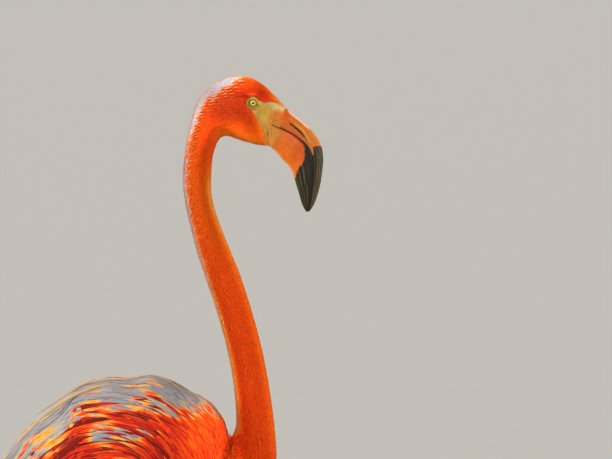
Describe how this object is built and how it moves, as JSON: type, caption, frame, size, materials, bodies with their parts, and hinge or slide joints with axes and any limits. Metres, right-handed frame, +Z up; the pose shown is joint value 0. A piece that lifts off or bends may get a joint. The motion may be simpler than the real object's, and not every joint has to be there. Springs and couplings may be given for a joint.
{
  "type": "flamingo",
  "caption": "Still, life-size model of a standing adult American flamingo with an S-curved neck, bent bill, folded wings and webbed feet.",
  "frame": {"origin": "on the floor, under the middle of the bird's length and width", "axes": "+X forward, the way the bill and breast face; +Y to the bird's left; +Z up"},
  "size_m": [0.475, 0.2042, 1.1703],
  "materials": {
    "plumage": "soft feather vanes, red-orange with paler tips",
    "flight_black": "black flight feathers with a low sheen",
    "bill": "horn, orange with a black end, satin",
    "eye": "wet, pale yellow iris",
    "leg": "scaled pink skin, satin"
  },
  "bodies": {
    "root": {"head": "plumage", "neck_1": "plumage", "neck_2": "plumage", "neck_3": "plumage", "neck_4": "plumage", "neck_5": "plumage", "trunk": "plumage", "tail": "plumage", "wing_right": "plumage", "wing_left": "plumage", "thigh_right": "plumage", "thigh_left": "plumage", "flight_right": "flight_black", "flight_left": "flight_black", "bill_upper": "bill", "bill_lower": "bill", "eye_right": "eye", "eye_left": "eye", "shank_right": "leg", "shank_left": "leg", "hock_right": "leg", "hock_left": "leg", "tarsus_right": "leg", "tarsus_left": "leg", "foot_right": "leg", "foot_left": "leg"}
  },
  "joints": []
}
